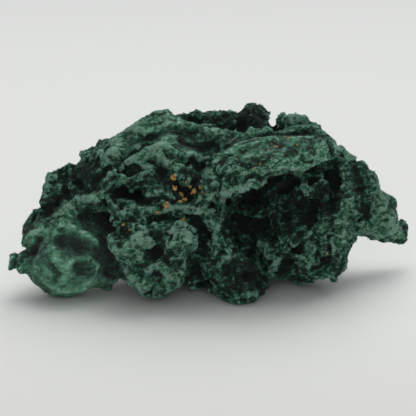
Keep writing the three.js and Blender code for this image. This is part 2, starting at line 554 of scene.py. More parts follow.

# The brow pit, darkened with painted shade, the recess where the rusty grains sit, and the frayed ledge above
# the boss, brightened with a painted highlight.
BROW = (
    Stroke(((-22.5, 4.3), (-19.5, 3.6), (-16.5, 4)), 1.8, -3.2, 2.2, -0.3),
    Stroke(((-11.5, 8.2), (-8.5, 5.6), (-5.5, 3)), 1.9, -2.0, 2.0, -0.12),
    Stroke(((-8.6, 7.6), (-6.5, 8.2)), 1.2, 0.9, 1.8, 0.05),
    Stroke(((-3.8, 6), (-2.4, 3.6)), 1.3, -1.5, 1.8, -0.15),
    Stroke(((-16, 1.6), (-11.5, 2.4), (-7.5, 1.2)), 1.0, -1.5, 1.5, -0.16),
    Stroke(
        ((-21.5, 1.4), (-17.5, -0.8), (-12.5, -0.4), (-8, 0.4), (-3, -0.8), (1, -0.4)),
        1.0, 2.0, 1.2, 0.26,
    ),
    Stroke(((-19, -2.9), (-15.5, -3.9), (-12.5, -3.0)), 1.1, -1.0, 1.8, -0.16),
    Stroke(((-10.5, -2.2), (-8, -3.0)), 1.0, -0.9, 1.8, -0.14),
    Stroke(((-22, -5), (-19.5, -7.4)), 1.5, -1.4, 1.8, -0.22),
    Stroke(((-15.8, -4.2), (-13.2, -4.8), (-11, -4)), 1.4, 1.1, 1.8, 0.0),
    Stroke(((-3, -3), (-1, -7), (-1.8, -11)), 1.7, -1.8, 1.8, -0.22),
    Stroke(((1.2, -2), (2.1, -5), (1.2, -8.4), (2.0, -13)), 0.9, 0.6, 1.4, 0.02),
)

# The boss: a pale flap on its left, a knob on its right, a crisp edge down to its foot.
BOSS = (
    Stroke(((-20.6, -10.6), (-18.6, -8.2), (-15.8, -7.8), (-14.4, -9.4)), 1.5, 1.8, 1.6, 0.2),
    Stroke(((-19.2, -12), (-16.6, -11.4)), 1.8, 0.6, 2.4, 0.12),
    Stroke(((-14, -10.4), (-12.4, -11.2), (-13.4, -13)), 1.3, -2.0, 1.8, -0.26),
    Stroke(((-9.2, -6.6), (-7, -4.6), (-5, -6.2), (-5.4, -8.4)), 1.5, 1.7, 1.6, 0.24),
    Stroke(((-9.6, -8.8), (-12, -12.8), (-15, -15.6), (-15.8, -19)), 0.6, 1.0, 1.1, 0.08),
    Stroke(((-24.4, -6.8), (-22.4, -11.6), (-19.4, -17), (-15.4, -22)), 0.8, 1.8, 1.1, 0.16),
    Stroke(((-12.4, -14.6), (-9.4, -16.6), (-8, -20)), 2.2, 0.6, 2.4, 0.16),
    Stroke(((-17.6, -14.6), (-15.6, -18.6)), 1.2, -0.5, 1.8, -0.1),
    Stroke(((-10.4, -13.4), (-9, -15)), 0.8, -1.2, 1.4, -0.1),
    Stroke(((-6.6, -11.6), (-6.2, -15), (-8, -19)), 0.9, 1.0, 1.3, 0.1),
    Stroke(((-5, -12), (-2.6, -17)), 1.6, -1.8, 1.8, -0.14),
    Stroke(((-17.8, -17), (-15.2, -19.6)), 1.2, 0.7, 1.8, 0.1),
)

# The shelf: a level felted slab, with a thin wavy lip over the cave that turns down at its left end.
SHELF = (
    Stroke(((29.5, 12.6), (24, 10.4), (18, 9.4), (12, 7.8), (7.5, 5.6), (4, 2.6)), 0.9, 1.0, 1.3, 0.2),
    Stroke(((1.6, 11.5), (7, 14.6), (15, 16.8), (26, 17.6), (30, 16)), 1.1, 0.9, 1.4, 0.05),
    Stroke(((2.5, 14.6), (8, 17.4), (15, 18.8), (25, 19.2)), 0.9, -1.3, 1.5, -0.16),
    Stroke(((8.5, 10.2), (15, 12.6), (23, 13.8)), 1.3, -0.6, 1.8, 0.0),
    Stroke(((2, 6), (3.2, 0.5), (2.6, -4)), 1.4, 1.2, 1.4, 0.1),
    Stroke(((9, 5), (5.5, 2.5)), 1.6, 0.6, 2.0, 0.18),
)

# The crest along the top right: dark knobs with hollows between them, and a bright rim low on the left.
CREST = (
    Stroke(((-5, 22.6), (0, 22.2), (6.5, 20.2)), 1.5, -1.5, 1.8, -0.24),
    Stroke(((2.5, 23.6), (6, 24), (8.5, 23.4)), 0.9, 0.9, 1.4, 0.1),
    Stroke(((2, 19.2), (4.8, 18.8), (7, 19.4)), 1.0, 1.0, 1.4, 0.3),
    Stroke(((10.5, 24), (13.5, 23)), 2.6, 0.0, 2.0, -0.22),
    Stroke(((18, 21.4), (18.8, 19.5)), 1.3, -0.8, 1.8, -0.22),
    Stroke(((21, 22.6), (25, 23), (28.5, 21.4)), 1.2, 0.7, 1.4, 0.12),
    Stroke(((22, 19.4), (27, 18.6)), 1.1, -0.9, 1.6, -0.14),
    Stroke(((30.5, 17), (33.5, 14.5), (37, 12)), 1.0, 0.9, 1.3, 0.08),
    Stroke(((28.8, 18.5), (31, 14.5), (33, 10.5)), 0.9, -1.3, 1.5, -0.12),
)

# The cave: hanging lobes, a beaded sill, holes blackened with painted shade, and a grape-like cluster at the
# foot of the column.
CAVE = (
    Stroke(((21.5, 9), (23.6, 5.6), (25, 3.4)), 1.9, 1.8, 1.8, 0.08),
    Stroke(((24, 5.2),), 0.8, 0.9, 1.6, 0.3),
    Stroke(((25, 5), (28, 6.8), (30, 7.4)), 0.9, 1.1, 1.3, 0.22),
    Stroke(((8.5, -1.4), (13, -2.2), (17, -1)), 1.5, 1.3, 1.6, 0.1),
    Stroke(((31.6, 9), (32.4, 4), (30.5, 0)), 1.9, -3.0, 2.2, -0.3),
    Stroke(((26.5, 0.5), (24, -3.6)), 1.7, -2.2, 2.0, -0.22),
    Stroke(((3.8, -12.4), (9.4, -11.9)), 1.0, 1.3, 1.4, 0.12),
    Stroke(((3, -14), (3.4, -19), (6, -22.4), (11.5, -21.6), (15, -19.6)), 1.0, 1.0, 1.4, 0.1),
    Stroke(((13.6, -9), (15.6, -12), (15, -16), (17.8, -12.4)), 1.6, 1.5, 1.8, 0.16),
    Stroke(((21.8, -10.4),), 1.9, -2.6, 2.2, -0.3),
    Stroke(((29.4, -13.2),), 1.6, -2.2, 2.0, -0.26),
    Stroke(((19.6, -13.6), (18.6, -17)), 1.4, -1.9, 1.8, -0.22),
    Stroke(((24.6, -14), (26, -17.4), (30, -17.6)), 1.1, 1.1, 1.4, 0.12),
    Stroke(((25.4, -6.6), (26, -10.4)), 1.3, 1.0, 1.4, 0.06),
    Stroke(((29, -5), (30.6, -9.4)), 1.2, 1.1, 1.4, 0.1),
)

# The right column and the wing behind it.
RIGHT = (
    Stroke(((32.6, 14), (34, 6.5), (33.4, -2), (34, -9), (34, -15.5)), 1.2, 1.2, 1.3, 0.08),
    Stroke(((35.4, 5.2),), 1.1, 1.5, 1.8, 0.24),
    Stroke(((35, 1.8), (37, -1.6)), 1.0, 1.0, 1.4, 0.18),
    Stroke(((37, 10), (38.8, 4), (39.6, -3)), 1.5, -1.4, 1.8, -0.08),
    Stroke(((42.5, 5), (44.6, 0), (46.6, -6.4)), 1.3, 0.9, 1.5, 0.04),
    Stroke(((36, -5.5), (42, -6.4), (47.5, -7.6)), 1.0, 0.6, 1.4, 0.12),
    Stroke(((46.4, 1.2), (44, -3.4)), 1.1, -0.9, 1.5, -0.1),
)

# Broad washes with no relief: painted shade in the cave, the brow pit and other hollows, and elsewhere
# paler or darker patches of the felt.
WASHES = tuple(
    Stroke(points, width, 0.0, 2.0, tone)
    for points, width, tone in (
        (((-26.5, 12.5), (-22, 17), (-17, 20)), 2.4, 0.28),
        (((-14, 22), (-9, 21)), 2.2, 0.1),
        (((-20, 10.5), (-12, 13.5)), 2.2, 0.22),
        (((-24, 9.5), (-19, 13.8), (-16, 17.5)), 1.4, -0.14),
        (((-36, -1.5), (-31, 2)), 2.0, 0.2),
        (((-45.2, -6), (-43.2, -2.2), (-39.4, 2.5)), 1.7, -0.16),
        (((-40.6, -7.6), (-37.4, -4.2), (-33.6, -0.8)), 1.5, 0.14),
        (((-38, 1.5), (-35, 5.5)), 2.6, -0.12),
        (((-31.5, 10), (-30, 4.5)), 3.4, -0.28),
        (((-20, -9.5), (-17, -9.5)), 2.4, 0.03),
        (((-8, -6), (-5, -6)), 2.0, 0.04),
        (((-14, -8.5), (-11, -10.5), (-13.5, -14)), 2.4, -0.16),
        (((-17, -17), (-14.5, -20)), 2.0, -0.08),
        (((4, 11.5), (12, 13.5), (24, 14.5)), 3.4, 0.04),
        (((9.5, 25.5), (11, 22.5), (14, 22)), 3.2, -0.4),
        (((-38, 9.5), (-36, 4)), 2.4, -0.02),
        (((-40, -20.5), (-33, -21)), 2.6, 0.08),
        (((-33, -10), (-29, -10.5)), 2.6, -0.06),
        (((21, 22), (28, 20)), 2.4, 0.16),
        (((9.5, 3), (14, 4.2), (20, 5.5)), 2.6, -0.28),
        (((4, -19), (9, -16.5), (13, -20)), 4.0, -0.34),
        (((5.5, -6), (10, -5), (16, -4)), 2.6, -0.16),
        (((-22, 4), (-17, 4)), 3.0, -0.12),
    )
)

STROKES = LEFT_END + LEFT_LOBE + SLOPE + BROW + BOSS + SHELF + CREST + CAVE + RIGHT + WASHES


@dataclass(frozen=True)
class Knob:
    """A rounded lump pressed onto the stone: its middle and half-widths, and its tilt about Y."""

    middle: tuple[float, float, float]
    half: tuple[float, float, float]
    tilt_deg: float = 0.0

    def add_to(self, bm: bmesh.types.BMesh) -> None:
        """Adds the lump to a mesh.

        Args:
            bm: the mesh that takes it.
        """
        turn = Matrix.Rotation(math.radians(self.tilt_deg), 4, "Y")
        stretch = Matrix.Diagonal((*(Vector(self.half) * MM), 1.0))
        where = Matrix.Translation(Vector(self.middle) * MM)
        bmesh.ops.create_icosphere(bm, subdivisions=3, radius=1.0, matrix=where @ turn @ stretch)


# Lumps that stand out of the crest, the right edge and the wing, and two that swell the left end.
KNOBS = (
    Knob((10.6, 10.5, 41.2), (3.4, 3.4, 3.0)),
    Knob((9.3, 10.0, 43.4), (2.1, 2.6, 2.0)),
    Knob((12.0, 11.0, 43.0), (1.9, 2.6, 1.9)),
    Knob((17.8, 8.0, 41.2), (1.5, 2.2, 2.4), -10),
    Knob((46.4, 16.8, 17.4), (2.2, 2.6, 2.2)),
    Knob((50.3, 17.2, 10.2), (1.5, 2.2, 2.4), -25),
    Knob((41.0, 15.5, 24.4), (2.4, 2.6, 2.2)),
    Knob((33.6, -4.5, 24.0), (1.6, 1.8, 1.6)),
    Knob((34.0, 0.0, 13.0), (1.6, 3.0, 3.0)),
    Knob((-27.0, -6.0, 8.5), (6.0, 7.0, 8.0)),
    Knob((-34.0, -3.0, 16.5), (8.0, 8.5, 6.0)),
)


@dataclass(frozen=True)
class Press:
    """A push of the thumb: what lies within reach of its middle moves by `shift`, less towards its edge."""

    middle: tuple[float, float, float]
    reach: tuple[float, float, float]
    shift: tuple[float, float, float]


PRESSES = (
    Press((-43.5, 4.0, 21.5), (3.6, 7.0, 4.5), (0.3, 0.0, -0.7)),
    Press((15.4, 9.5, 41.5), (2.4, 7.0, 4.5), (0.0, 0.0, -2.2)),
    Press((-12.3, 8.0, 43.0), (4.5, 8.0, 4.5), (0.0, 0.0, -1.1)),
    Press((29.8, 7.0, 38.0), (3.5, 7.0, 4.5), (-0.3, 0.0, -0.8)),
    Press((4.0, 10.0, 41.0), (4.0, 7.0, 4.5), (0.0, 0.0, 1.0)),
    Press((-3.5, 9.0, 41.0), (3.0, 7.0, 4.5), (0.0, 0.0, 1.2)),
    Press((33.5, 8.0, 31.5), (3.0, 7.0, 4.0), (0.5, 0.0, 2.0)),
)


@dataclass(frozen=True)
class Patch:
    """A soft round region of the stone: its middle, in the frame, and how far it reaches."""

    middle: tuple[float, float, float]
    reach: tuple[float, float, float]

    def weight(self, points: np.ndarray) -> np.ndarray:
        """Gives 1 well inside the patch and 0 outside it."""
        away = np.linalg.norm((points - np.array(self.middle)) / np.array(self.reach), axis=1)
        return 1 - smooth_step(away, 0.6, 1.15)


# Where the skin is melted into one swell, felt-smooth, darkened in the cave and its hollows by painted shade
# and the felt's own darker colour, less folded, felted over and paler.
DRAPED_PATCHES = (
    Patch((-33, -6, 12), (12.5, 13, 14)),
)
SMOOTH_PATCHES = (
    Patch((-35, -8, 9.5), (16, 17, 13)),
)
DARK_FELT_AND_SHADE_PATCHES = (
    Patch((13, -4, 21), (16, 13, 12)),
    Patch((25, -6, 27), (12, 10, 8)),
    Patch((8, -12, 6), (8, 8, 6)),
)
HALF_DARK_FELT_AND_SHADE_PATCHES = (Patch((27, -2, 12), (11, 12, 13)),)
CALM_PATCHES = (
    Patch((-17, 0, 35), (13, 12, 9)),
    Patch((-39, 3, 25), (5, 8, 9)),
    Patch((44, 15, 15), (11, 10, 13)),
    Patch((-14, -13, 12), (9, 8, 10)),
)
FUZZY_PATCHES = (
    Patch((-13.5, -14, 8.5), (9.5, 8, 9)),
    Patch((16, -8, 37), (17, 12, 6)),
    Patch((-8, -2, 39), (9, 10, 6)),
)
BEHIND = (3.0, 10.0)  # how far back the front's own pits end and the back's broad clouds of tone begin
PALE_PATCHES = (
    Patch((16, -8, 37), (18, 12, 6)),
    Patch((-18, 2, 36), (16, 12, 8)),
)


def in_patches(points: np.ndarray, patches: Sequence[Patch]) -> np.ndarray:
    """Gives the strongest weight of several patches at each point."""
    return np.max([patch.weight(points) for patch in patches], axis=0)


@dataclass
class Stone:
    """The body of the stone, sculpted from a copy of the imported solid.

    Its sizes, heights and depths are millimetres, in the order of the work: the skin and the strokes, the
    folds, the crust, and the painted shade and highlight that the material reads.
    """

    first_voxel: float = 0.6
    last_voxel: float = 0.48
    drape_rounds: int = 110
    first_share: float = 0.6
    last_share: float = 0.7
    path_step: float = 0.7
    wobble: float = 0.4
    wobble_size: float = 2.6
    floor_fade: float = 1.6

    broad_warp: float = 5.0
    broad_warp_size: float = 13.0
    fine_warp: float = 1.7
    fine_warp_size: float = 3.6
    ledge_lean: np.ndarray = field(default_factory=lambda: np.array([-0.42, -0.25, 0.87]))
    ledge_step: float = 5.2
    ledge_depth: float = 2.0
    ledge_middle: float = 0.4
    ledge_patch_size: float = 10.0
    overhang: float = -0.25
    swell_size: float = 10.0
    swell_height: float = 1.9
    swell_middle: float = 0.9

    crumple: float = 0.9
    crumple_size: float = 2.4
    shard_size: float = 2.9
    shard_height: float = 0.42
    chip_size: float = 1.3
    chip_height: float = 0.2
    grit_size: float = 1.4
    grit_height: float = 0.3
    bead_size: float = 1.9
    bead_height: float = 0.45
    bead_patch_size: float = 8.0
    pit_size: float = 4.2
    pit_depth: float = 1.6
    felt_size: float = 3.4
    felt_height: float = 0.22

    base_shade: float = 0.48
    # Painted shade in creases and a painted highlight where the crust stands out: blur rounds, height and
    # share for each size.
    crease_shade_and_crest_highlight: tuple[tuple[int, float, float], ...] = ((3, 0.14, 0.2), (26, 0.6, 0.14), (90, 2.0, 0.1))
    cloud_size: float = 15.0
    dark_felt_and_shade: float = 0.28
    laid: list[tuple[Stroke, np.ndarray]] = field(default_factory=list)

    def copy_of_solid(self) -> bpy.types.Object:
        """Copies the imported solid, merges its loose triangles into one skin and presses the knobs onto it.

        Returns:
            The copy.
        """
        bm = bmesh.new()
        bm.from_mesh(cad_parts[NODE].data)
        bmesh.ops.remove_doubles(bm, verts=bm.verts[:], dist=1e-7)
        for knob in KNOBS:
            knob.add_to(bm)
        mesh = bpy.data.meshes.new("stone")
        bm.to_mesh(mesh)
        bm.free()
        return stand("stone", mesh)

    def even_skin(self, body: bpy.types.Object, voxel: float, rounds: int) -> None:
        """Gives a body an even skin of small faces.

        Args:
            body: the object to remesh.
            voxel: width of a face.
            rounds: rounds of smoothing after it.
        """
        remesh = body.modifiers.new("even faces", "REMESH")
        remesh.mode = "VOXEL"
        remesh.voxel_size = voxel * MM
        if rounds:
            relax = body.modifiers.new("relax", "SMOOTH")
            relax.factor = 0.5
            relax.iterations = rounds
        applied(body)

    def stroke_paths(self, body: bpy.types.Object) -> list[tuple[Stroke, np.ndarray]]:
        """Lays each stroke on the surface, as seen from the camera.

        Args:
            body: the object that the strokes lie on.

        Returns:
            Each stroke with the points of its path, closely spaced, in millimetres.
        """
        laid = []
        for stroke in STROKES:
            spots = []
            for start, end in zip(stroke.points, stroke.points[1:] or stroke.points):
                steps = max(int(math.dist(start, end) / self.path_step), 1)
                for i in range(steps):
                    spots.append(tuple(np.interp(i / steps, (0, 1), pair) for pair in zip(start, end)))
            path = Studio().lay(body, spots)
            if len(path):
                laid.append((stroke, path))
        return laid

    def stroke_weights(
        self, points: np.ndarray, stroke: Stroke, path: np.ndarray
    ) -> tuple[np.ndarray, np.ndarray]:
        """Gives how strongly a stroke touches each point.

        Args:
            points: positions in millimetres.
            stroke: the stroke.
            path: its path, as laid on the surface.

        Returns:
            The numbers of the points that it touches, and a weight up to 1 for each.
        """
        reach = 3.2 * stroke.width
        low, high = path.min(axis=0) - reach, path.max(axis=0) + reach
        near = np.flatnonzero(np.all((points > low) & (points < high), axis=1))
        if not len(near):
            return near, np.zeros(0)
        wobble = 1 + self.wobble * sample(points[near], self.wobble_size, noise.noise, seed=5.0)
        gaps = np.linalg.norm(points[near, None, :] - path[None, :, :], axis=2).min(axis=1)
        return near, np.exp(-((gaps / stroke.width / wobble) ** stroke.crisp))

    def drape(self, body: bpy.types.Object) -> None:
        """Presses the outline into place, and melts the lumps of the left end into one felt-smooth swell.

        Args:
            body: the object to move.
        """
        points = coordinates(body.data)
        for press in PRESSES:
            away = (points - np.array(press.middle)) / np.array(press.reach)
            points += np.exp(-np.sum(away**2, axis=1))[:, None] * np.array(press.shift)
        melted = Spread(body.data).blur(points, self.drape_rounds)
        weight = self.grounded(points, in_patches(points, DRAPED_PATCHES))
        place(body.data, points + (melted - points) * weight[:, None])

    def sculpt(self, body: bpy.types.Object, share: float) -> None:
        """Raises the ridges and presses in the grooves and pits, along the surface's own normals.

        Args:
            body: the object to sculpt.
            share: how much of each stroke's rise this round gives.
        """
        points = coordinates(body.data)
        outward = Spread(body.data).outward(rounds=6)
        self.laid = self.stroke_paths(body)
        push = np.zeros(len(points))
        for stroke, path in self.laid:
            near, weight = self.stroke_weights(points, stroke, path)
            push[near] += share * stroke.rise * weight
        place(body.data, points + outward * self.grounded(points, push)[:, None])

    def tone(self, points: np.ndarray) -> np.ndarray:
        """Gives how much the strokes lighten or darken each point: painted shade in grooves and pits, a
        painted highlight along ridges and lips, and the felt's own streaks.

        Args:
            points: positions in millimetres.

        Returns:
            One value for each point.
        """
        total = np.zeros(len(points))
        for stroke, path in self.laid:
            if stroke.tone:
                wide = Stroke(stroke.points, 1.2 * stroke.width, 0.0, min(stroke.crisp + 0.2, 2.0))
                near, weight = self.stroke_weights(points, wide, path)
                total[near] += stroke.tone * weight
        return np.clip(total, -0.5, 0.45)

    def grounded(self, points: np.ndarray, push: np.ndarray) -> np.ndarray:
        """Fades a push out near the table, so that the worn feet stay flat."""
        return push * smooth_step(points[:, 2], 0.1, self.floor_fade)

    def fold(self, body: bpy.types.Object) -> None:
        """Layers the skin into ragged ledges that overhang the ones below, and swells it between them.

        Args:
            body: the object to fold.
        """
        points = coordinates(body.data)
        outward = Spread(body.data).outward(rounds=4)
        calm = (1 - 0.85 * in_patches(points, SMOOTH_PATCHES)) * (1 - 0.6 * in_patches(points, CALM_PATCHES))
        flat = 1 - 0.75 * in_patches(points, FUZZY_PATCHES)
        warp = self.broad_warp * vector_noise(points, self.broad_warp_size, seed=1.0)
        warp += self.fine_warp * vector_noise(points, self.fine_warp_size, seed=2.0)
        rise = (points + warp) @ self.ledge_lean / self.ledge_step
        step = rise - np.floor(rise)
        lip = (1 - step) ** 1.6 * smooth_step(step, 0.0, 0.09)
        ledged = smooth_step(sample(points, self.ledge_patch_size, noise.noise, seed=3.0), -0.3, 0.25)
        swell = sample(points + 0.5 * warp, self.swell_size, ranges, seed=7.0) - self.swell_middle
        push = self.ledge_depth * (lip - self.ledge_middle) * ledged * flat
        push += self.swell_height * swell * (0.2 + 0.8 * flat)
        push = self.grounded(points, calm * push)
        place(body.data, points + (outward + self.overhang * self.ledge_lean) * push[:, None])

    def crust(self, body: bpy.types.Object) -> None:
        """Roughens the skin with shards, chips, grit, beads and ragged pits.

        Args:
            body: the object to roughen.
        """
        mesh = body.data
        points = coordinates(mesh)
        outward = Spread(mesh).outward(rounds=2)
        smooth = in_patches(points, SMOOTH_PATCHES)
        fuzzy = in_patches(points, FUZZY_PATCHES)
        dark_felt_and_shade = in_patches(points, DARK_FELT_AND_SHADE_PATCHES)
        warp = self.crumple * vector_noise(points, self.crumple_size, seed=11.0)
        shards = sample(points + warp, self.shard_size, facet, seed=14.0)
        chips = sample(points + 0.4 * warp, self.chip_size, facet, seed=21.0)
        grit = sample(points, self.grit_size, gritty, seed=15.0)
        beads = 0.5 - sample(points + 0.5 * warp, self.bead_size, nearest_bead, seed=16.0)
        beaded = sample(points, self.bead_patch_size, noise.noise, seed=17.0) + 0.15 * dark_felt_and_shade
        holes = 0.12 * dark_felt_and_shade - sample(points + 1.6 * warp, self.pit_size, noise.noise, seed=18.0)
        holes -= 0.12 * smooth_step(points[:, 1], *BEHIND)
        push = self.shard_height * shards * (1 - 0.6 * fuzzy)
        push += (self.chip_height * chips + self.grit_height * grit) * (1 - 0.5 * fuzzy)
        push += self.bead_height * beads * smooth_step(beaded, 0.25, 0.5) * (1 - fuzzy)
        push -= self.pit_depth * smooth_step(holes, 0.26, 0.44) * (1 - 0.7 * fuzzy)
        push *= (1 - 0.88 * smooth) * (1 - 0.35 * in_patches(points, CALM_PATCHES))
        push += self.felt_height * smooth * sample(points, self.felt_size, noise.noise, seed=19.0)
        moved = points + outward * self.grounded(points, push)[:, None]
        moved[:, 2] = np.maximum(moved[:, 2], 0.0)
        place(mesh, moved)

    def shade(self, body: bpy.types.Object) -> None:
        """Stores how pale each point is: a painted highlight where the crust stands out, and painted shade in
        creases, hollows and the cave, with the strokes' marks and random clouds.

        Args:
            body: the object that takes the attributes.
        """
        mesh = body.data
        points = coordinates(mesh)
        spread = Spread(mesh)
        outward = spread.outward(rounds=3)
        smooth = in_patches(points, SMOOTH_PATCHES)
        shade = np.full(len(points), self.base_shade)
        skin = points
        # Painted shade in creases and a painted highlight where the crust stands out, at three sizes.
        for rounds, height, share in self.crease_shade_and_crest_highlight:
            skin = spread.blur(skin, rounds)
            proud = np.sum((points - skin) * outward, axis=1) / height
            shade += (1 - 0.5 * smooth) * share * np.clip(proud, -1.8, 1.4)
        # The strokes add painted shade in grooves and pits, painted highlights along ridges, and the felt's
        # own streaks.
        shade += self.tone(points)
        clouds = sample(points, self.cloud_size, cloudy, seed=23.0)
        shade += (0.1 + 0.5 * smooth_step(points[:, 1], *BEHIND)) * clouds
        shade += 0.04 * in_patches(points, PALE_PATCHES) - 0.02 * smooth
        # Painted shade darkens the cave and its hollows, together with the felt's own darker colour there.
        half_dark_felt_and_shade = 0.4 * in_patches(points, HALF_DARK_FELT_AND_SHADE_PATCHES)
        shade -= self.dark_felt_and_shade * np.maximum(in_patches(points, DARK_FELT_AND_SHADE_PATCHES), half_dark_felt_and_shade)
        write_attribute(mesh, "shade", shade)
        write_attribute(mesh, "fineness", np.maximum(smooth, 0.6 * in_patches(points, FUZZY_PATCHES)))

    def build(self) -> bpy.types.Object:
        """Sculpts the stone.

        Returns:
            The finished body, with its painted shade and highlight in its attributes.
        """
        body = self.copy_of_solid()
        self.even_skin(body, self.first_voxel, 4)
        self.drape(body)
        self.sculpt(body, self.first_share)
        self.fold(body)
        self.even_skin(body, self.last_voxel, 1)
        self.sculpt(body, self.last_share)
        self.crust(body)
        self.shade(body)
        for face in body.data.polygons:
            face.use_smooth = True
        body.data.materials.clear()
        body.data.materials.append(MalachiteFinish().material())
        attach(body, "root")
        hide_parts(NODE)
        LOG.info("stone: %d faces", len(body.data.polygons))
        return body


# ---------------------------------------------------------------- finishes


@dataclass(frozen=True)
class Grain:
    """One layer of the velvet's grain: how wide its humps are, and how much it lightens and darkens."""

    size_mm: float
    gain: float
    detail: float = 4.0
    fade: float = 0.65
    ridged: bool = False
    combed: bool = False
    rough_only: bool = True
    bump_mm: float = 0.0


@dataclass(frozen=True)
class MalachiteFinish:
    """Fibrous malachite, grown as a felt of fine needles: it swallows light in its creases, and its
    crests and the ends of its needles catch a soft pale green bloom. Besides the lamps' own sheen, the darker
    creases and paler crests are painted shade and painted highlight, carried in the shade attribute. Fresh
    needles are a clear green, and worn ones are dull and grey."""

    # The low end of each ramp is where painted shade falls in creases and hollows, and the high end where a
    # painted highlight lies on crests; between them are the felt's own greens.
    fresh: tuple[str, ...] = ("#151a19", "#173526", "#25694a", "#5cab87", "#b4e6cf")
    worn: tuple[str, ...] = ("#201d23", "#28312e", "#385a4a", "#689a80", "#a2d0b8")
    stops: tuple[float, ...] = (0.05, 0.27, 0.47, 0.72, 1.0)
    bloom: str = "#a8d4bd"
    roughness: float = 0.88
    wear_mm: float = 2.4
    wear_gain: float = 0.14
    wear_range: tuple[float, float] = (0.42, 0.62)
    felt_grain: float = 0.3
    sheen: float = 0.25
    sheen_roughness: float = 0.45
    specular: float = 0.25
    comb_turn_deg: tuple[float, float, float] = (0.0, 30.0, 12.0)
    comb_squeeze: tuple[float, float, float] = (0.2, 0.6, 1.0)
    # Real needles are 0.02 to 0.1 mm wide. The finest layers are drawn several times coarser, to show.
    grains: tuple[Grain, ...] = (
        Grain(7.0, 0.6, rough_only=False),
        Grain(1.2, 0.45, combed=True, rough_only=False),
        Grain(2.0, 0.8, 6.0, ridged=True, bump_mm=1.2),
        Grain(0.8, 1.2, 5.0, 0.75, bump_mm=1.0),
        Grain(0.6, 1.0, 4.0, 0.7, combed=True, bump_mm=0.6),
        Grain(0.33, 1.3, 3.0, 0.75, bump_mm=0.4),
    )

    def material(self) -> bpy.types.Material:
        """Builds the velvet's material.

        Returns:
            The material.
        """
        stone, tree = bare_material("fibrous malachite")
        where = add_node(tree, "ShaderNodeTexCoord").outputs["Object"]
        comb = {"Rotation": tuple(map(math.radians, self.comb_turn_deg)), "Scale": self.comb_squeeze}
        along = add_node(tree, "ShaderNodeMapping", Vector=where, **comb).outputs[0]
        # The shade attribute: painted shade in creases, hollows and the cave, a painted highlight on crests,
        # and the felt's own tones.
        level = add_node(tree, "ShaderNodeAttribute", {"attribute_name": "shade"}).outputs["Fac"]
        felt = add_node(tree, "ShaderNodeAttribute", {"attribute_name": "fineness"}).outputs["Fac"]
        calming = {"To_Min": 1.0, "To_Max": self.felt_grain}
        rough = add_node(tree, "ShaderNodeMapRange", Value=felt, **calming).outputs[0]
        slope, step = {}, {"operation": "MULTIPLY_ADD"}
        for grain in self.grains:
            crests = {"Offset": 0.9, "Gain": 1.5} if grain.ridged else {}
            hump = add_node(
                tree,
                "ShaderNodeTexNoise",
                {"noise_type": "RIDGED_MULTIFRACTAL" if grain.ridged else "FBM"},
                Vector=along if grain.combed else where,
                Scale=1 / (grain.size_mm * MM),
                Detail=grain.detail,
                Roughness=grain.fade,
                Distortion=0.4,
                **crests,
            ).outputs[0]
            half = grain.gain / 2
            span = {"From_Max": 2.0 if grain.ridged else 1.0, "To_Min": -half, "To_Max": half}
            lift = add_node(tree, "ShaderNodeMapRange", Value=hump, **span)
            share = rough if grain.rough_only else 1.0
            level = add_node(tree, "ShaderNodeMath", step, i0=lift.outputs[0], i1=share, i2=level).outputs[0]
            if grain.bump_mm:
                height = {"Height": hump, "Strength": rough, "Distance": grain.bump_mm * MM}
                slope = {"Normal": add_node(tree, "ShaderNodeBump", **height, **slope).outputs[0]}
        patchy = {"Scale": 1 / (self.wear_mm * MM), "Detail": 6.0, "Roughness": 0.7}
        wear = add_node(tree, "ShaderNodeTexNoise", Vector=where, **patchy)
        worn = add_node(tree, "ShaderNodeMath", step, i0=felt, i1=self.wear_gain, i2=wear.outputs[0])
        low, high = self.wear_range
        dull = add_node(tree, "ShaderNodeMapRange", Value=worn.outputs[0], From_Min=low, From_Max=high)
        colour = add_node(tree, "ShaderNodeMix", {"data_type": "RGBA"}, i0=dull.outputs[0])
        for number, colours in ((6, self.fresh), (7, self.worn)):
            ramp = add_node(tree, "ShaderNodeValToRGB", stops=tuple(zip(self.stops, colours)), Fac=level)
            tree.links.new(ramp.outputs[0], colour.inputs[number])
        surface = add_node(
            tree,
            "ShaderNodeBsdfPrincipled",
            Base_Color=colour.outputs[2],
            Roughness=self.roughness,
            Sheen_Weight=self.sheen,
            Sheen_Roughness=self.sheen_roughness,
            Sheen_Tint=linear(self.bloom),
            Specular_IOR_Level=self.specular,
            **slope,
        )
        add_node(tree, "ShaderNodeOutputMaterial", Surface=surface.outputs[0])
        return stone


@dataclass(frozen=True)
class LimoniteFinish:
    """Limonite, a rust of iron: dull ochre grains, browner in blotches."""

    stops: tuple[tuple[float, str], ...] = ((0.32, "#7d5a26"), (0.5, "#b78c47"), (0.68, "#d9b377"))
    roughness: float = 0.7
    blotch_mm: float = 1.1
    grit_mm: float = 0.25
    grit_height_mm: float = 0.2

    def material(self) -> bpy.types.Material:
        """Builds the grains' material.

        Returns:
            The material.
        """
        rust, tree = bare_material("limonite")
        where = add_node(tree, "ShaderNodeTexCoord").outputs["Object"]
        blotch, grit = (
            add_node(tree, "ShaderNodeTexNoise", Vector=where, Scale=1 / (size * MM), Detail=3.0).outputs[0]
            for size in (self.blotch_mm, self.grit_mm)
        )
        ramp = add_node(tree, "ShaderNodeValToRGB", stops=self.stops, Fac=blotch)
        bump = add_node(tree, "ShaderNodeBump", Height=grit, Strength=0.8, Distance=self.grit_height_mm * MM)
        look = {"Base_Color": ramp.outputs[0], "Roughness": self.roughness, "Normal": bump.outputs[0]}
        surface = add_node(tree, "ShaderNodeBsdfPrincipled", **look)
        add_node(tree, "ShaderNodeOutputMaterial", Surface=surface.outputs[0])
        return rust


# ---------------------------------------------------------------- crust grown on the stone


class Form(Enum):
    """The shapes that grow on the crust."""

    NEEDLE = "needle"
    CRUMB = "crumb"


